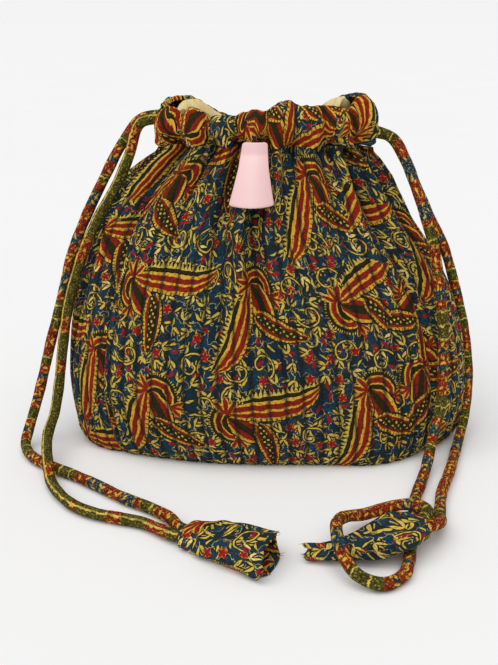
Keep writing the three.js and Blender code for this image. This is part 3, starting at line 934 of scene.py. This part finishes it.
def cord_tube(name, line, offset, node, finish):
    """A turned cotton tube along a line of points in mm, with its seam and print."""
    sides = 20
    along = unit(np.gradient(line, axis=0))
    normal = np.zeros_like(line)
    normal[0] = np.cross(along[0], (0.3, 0.2, 0.9))
    for k in range(1, len(line)):
        normal[k] = normal[k - 1] - along[k] * (normal[k - 1] @ along[k])
    normal = unit(normal)
    other = np.cross(along, normal)
    way = way_of(line)
    turn = np.linspace(0, 2 * np.pi, sides + 1)
    swell = 1 + 0.03 * np.sin(way / 5.3 + offset) + 0.02 * np.sin(way / 2.9 + 2 * offset)
    crease = 1 - 0.07 * hump(turn[:-1], 1.2, 0.25)
    radius = (CORD / 2 - 0.35) * swell[None, :] * crease[:, None]
    ring = np.cos(turn[:-1, None, None]) * normal[None] - np.sin(turn[:-1, None, None]) * other[None]
    outer = line[None] + ring * radius[..., None]
    inner = line[None] + ring * (radius[..., None] - CORD_WALL)
    flat = np.stack(np.broadcast_arrays(offset * 137 + way[None], turn[:, None] * CORD / 2), -1)
    spots = lattice(int(offset * 10))
    return sheet_solid(name, outer, inner, flat, finish, spots, ring=True, nodes=[node])


RUN_INSET, RUN_BELOW_RIM, RUN_ROOM = 6.1, 6.5, 21


def mouth_run(side, level, reach):
    """The run inside the casing, once round the mouth from one exit to the other."""
    share = side + np.linspace(reach, 1 - reach, 90)
    point, out = around(share, NECK_Z)
    bow = 1.5 * hump(share, side + 0.5, 0.035)
    xy = point + out * (bow - RUN_INSET)[:, None]
    room = level_out(np.minimum(rim_at(share) - RUN_BELOW_RIM, RUN_ROOM), 13)
    height = NECK_Z + level + room - RUN_ROOM - sag(share, NECK_Z)
    return np.column_stack([xy[:, 0] + lean(WALL_TOP), xy[:, 1], height])


# %% Free strands and casing runs
EXIT = 16 / 365
left_run, right_run = mouth_run(0.5, 21.0, EXIT), mouth_run(0.0, 12.4, EXIT)
cord_tube("left_casing_run", spaced(left_run, 3)[0], 1.3, "left_drawstring", BANDED)
cord_tube("right_casing_run", spaced(right_run, 3)[0], 2.1, "right_drawstring", BANDED)
STRANDS = [
    ("left_back_strand", LEFT_BACK[::-1], left_run[-1], grip(LEFT_SLEEVE, -1), 3.2, BANDED),
    ("left_front_strand", LEFT_FRONT, left_run[0], grip(LEFT_SLEEVE, 1), 4.6, STRIPED),
    ("right_front_strand", RIGHT_FRONT, right_run[-1], grip(RIGHT_SLEEVE, 1), 5.5, BANDED),
    ("right_back_strand", RIGHT_BACK[::-1], right_run[0], grip(RIGHT_SLEEVE, -1), 6.8, BANDED),
]
strands = []
for name, route, start, end, offset, finish in STRANDS:
    node = name.split("_")[0] + "_drawstring"
    line, length = spaced([start, *route, *end], 2.0)
    strand = cord_tube(name, line, offset, node, finish)
    strands.append((strand, line, length))
    print(name, "is", round(length), "mm long")

# %% [markdown]
# ## Cloth sleeves
# Both strands of a drawstring are held in a sleeve of the same print, with a raw cut edge at its far end.
# The sleeve is a flattened tube that follows the CAD rings. Its end is cut unevenly and a few threads
# stand out of it.


# %% Sleeves
SLEEVE_COLUMNS, SLEEVE_CLOTH, SLEEVE_FLOOR = 72, 1.0, 0.25
THREAD_RINGS, THREAD_SIDES, THREAD_RADIUS = 5, 3, 0.17


def cord_sleeve(name, rings, cut, spots, node):
    """A flattened tube through the rings. cut lists how far its end reaches around the edge."""
    rings = np.array(rings)
    along = unit(np.gradient(rings[:, :3], axis=0))
    sideways = unit(np.cross(along, UP))
    table = np.concatenate([rings[:, :3], sideways, np.cross(sideways, along), rings[:, 3:]], 1)
    fine = smooth_line(table[None], 14)[0]
    middle, side, up, (wide, tall) = fine[:, :3], fine[:, 3:6], fine[:, 6:9], fine[:, 9:].T
    turn = np.linspace(0, 2 * np.pi, SLEEVE_COLUMNS + 1)[:, None]
    spin = turn[:-1]
    place = np.linspace(0, 1, len(fine))
    crumple = 0.55 * np.sin(3 * spin + 9 * place) + 0.4 * np.sin(7 * spin - 13 * place + 1)
    crumple = crumple * np.clip(place * 3, 0, 1) - 0.2
    bulge = lambda value: np.sign(value) * np.abs(value) ** (2 / 3)

    def shell(depth):
        across = (wide - depth + crumple) * bulge(np.cos(spin))
        above = (tall - depth + crumple) * bulge(np.sin(spin))
        grid = middle - side * across[..., None] + up * above[..., None]
        longer = np.interp(spin, *np.array(cut).T, period=2 * np.pi) * place**2
        grid += unit(middle[-1] - middle[-2]) * longer[..., None]
        grid[..., 2] = np.maximum(grid[..., 2], SLEEVE_FLOOR)
        return grid

    outer, inner = shell(0.0), shell(SLEEVE_CLOTH)
    way = way_of(middle)
    girth = turn * wide * 0.8
    flat = np.stack([np.broadcast_to(way, girth.shape), girth], -1)
    made = sheet_solid(name, outer, inner, flat, PRINTED, spots, ring=True, nodes=[node])
    return made, outer[:, -1], outer[:, -1] - outer[:, -3]


def fray(name, edge, outward, count):
    """Loose threads along a raw edge, each a thin bent strip with three sides."""
    draw = np.random.default_rng(len(name))
    corners = 2.1 * np.arange(THREAD_SIDES)
    spread = np.stack([np.cos(corners), np.sin(corners), np.sin(corners + 1)], 1) * THREAD_RADIUS
    points, quads, maps = [], [], []
    for _ in range(count):
        base = len(points)
        k = draw.integers(len(edge))
        way = unit(outward[k]) + draw.normal(0, 0.35, 3)
        start = edge[k] - way * 0.8
        length = draw.uniform(1.0, 3.2)
        bend = draw.normal(0, 0.25, 3)
        for u in np.linspace(0, 1, THREAD_RINGS):
            middle = start + way * length * u + bend * length * u * u
            middle[2] = max(middle[2], 0.4)
            points.extend(middle + spread * (1 - 0.6 * u))
        for ring in range(base, len(points) - THREAD_SIDES, THREAD_SIDES):
            for corner in range(THREAD_SIDES):
                a, b = ring + corner, ring + (corner + 1) % THREAD_SIDES
                quads.append((a, b, b + THREAD_SIDES, a + THREAD_SIDES))
                maps.append(np.full((4, 2), 10.0 * k))
    points, quads, maps = np.array(points) * MM, np.array(quads), np.array(maps)
    cloth_piece(name, points, quads, maps, PRINTED, lattice(1), ())


left_cap, left_edge, left_out = cord_sleeve("left_sleeve", LEFT_SLEEVE,
    [(0, -11), (0.8, -7), (1.6, -3), (2.4, 0), (3.1, 2), (3.6, -1), (4.0, -6), (4.5, -1), (5.2, -4),
     (5.8, -9)],
    [(8, 10, 200, 1), (34, 60, 100, -1), (66, 120, 60, 1)], "left_cord_end")  # fmt: skip
right_cap, right_edge, right_out = cord_sleeve("right_sleeve", RIGHT_SLEEVE,
    [(0, 2), (1, -2), (2, 3), (3, 0), (4, 3), (5, -1)],
    [(-10, 10, 120, 1), (80, 90, 30, 1)], "right_cord_end")  # fmt: skip
fray("left_sleeve_fray", left_edge, left_out, 34)
fray("right_sleeve_fray", right_edge, right_out, 22)
for strand, line, length in strands:
    line[0] * MM
    length * MM
    line * MM  # fmt: skip

# %% [markdown]
# ## Label tab
# A tab of smooth pink hide hangs from the casing seam over the front fold. It is left bare. Its corners
# are rounded and it curves a little across, because the fold under it is round.

# %% Label
LABEL_TOP, LABEL_DROP, LABEL_THICK = 216.0, 39.5, 1.2
down, across = np.linspace(0, 1, 45), np.linspace(-1, 1, 31)[:, None]
half = np.interp(down, [0, 0.12, 0.4, 0.75, 1], [8.0, 8.4, 9.6, 12.4, 14.6])
near_end = (1 - np.minimum(down, 1 - down) / 0.05).clip(0, 1)
half = half * np.minimum(1, np.sqrt(1 - near_end**2) * 0.18 + 0.82)
height = LABEL_TOP - LABEL_DROP * down
here = np.array([LABEL_AT])
middle_x = around(here, NECK_Z)[0][0, 0] + 3.4 + lean(200) - 2.4 * down
cloth_y = np.array([around(here, z)[0][0, 1] - fold_offset(here, z)[0] for z in height])
cloth_y = np.minimum.accumulate(cloth_y) - 2.6 - 0.8 * down
y = cloth_y + 3.0 * across**2 * (0.6 + 0.6 * down)
z = height + 0.6 * across**2 * down
face = np.stack(np.broadcast_arrays(middle_x + across * half, y, z), -1)[:, ::-1]
behind = face + (0, LABEL_THICK, 0)
flat = np.stack(np.broadcast_arrays(across * half[::-1], height[::-1]), -1)
label = sheet_solid("label_tab", face, behind, flat, LABEL, lattice(1), nodes=["label"])

# %% [markdown]
# ## Floor and light
# A pale floor carries the shadow. The light is a broad skylight with a bright room around it, so shadows
# are soft and colours render as written.


# %% Floor and light
def pale_floor():
    place = Val.node("NewGeometry", out=0)
    speck = Val.node("TexNoise", inputs={"Vector": place, "Scale": 3.0, "Detail": 2.0})
    colour = paint(dye("f8f8f8"), dye("fcfcfc"), speck)
    return {"Base Color": colour, "Roughness": 0.9, "Specular IOR Level": 0.1}


ROOM_LIGHT, ROOM_SEEN, SUN_POWER = 0.47, 0.90, 1.85
floor_mesh = bpy.data.meshes.new("floor")
floor_mesh.from_pydata([(-60, -30, 0), (60, -30, 0), (60, 90, 0), (-60, 90, 0)], [], [(0, 1, 2, 3)])
floor_mesh.materials.append(finish_of("pale floor", pale_floor))
floor = bpy.data.objects.new("floor", floor_mesh)
scene.collection.objects.link(floor)

world = bpy.data.worlds.new("room")
world.use_nodes = True
Val.tree = world.node_tree
strength = Val.node("LightPath") * (ROOM_SEEN - ROOM_LIGHT) + ROOM_LIGHT
room = world.node_tree.nodes["Background"]
room.inputs["Color"].default_value = (1, 1, 1, 1)
world.node_tree.links.new(strength.socket, room.inputs["Strength"])
scene.world = world
sun = bpy.data.objects.new("skylight", bpy.data.lights.new("skylight", "SUN"))
sun.data.energy, sun.data.angle = SUN_POWER, math.radians(75)
sun.rotation_euler = (math.radians(28), math.radians(-14), 0)
scene.collection.objects.link(sun)
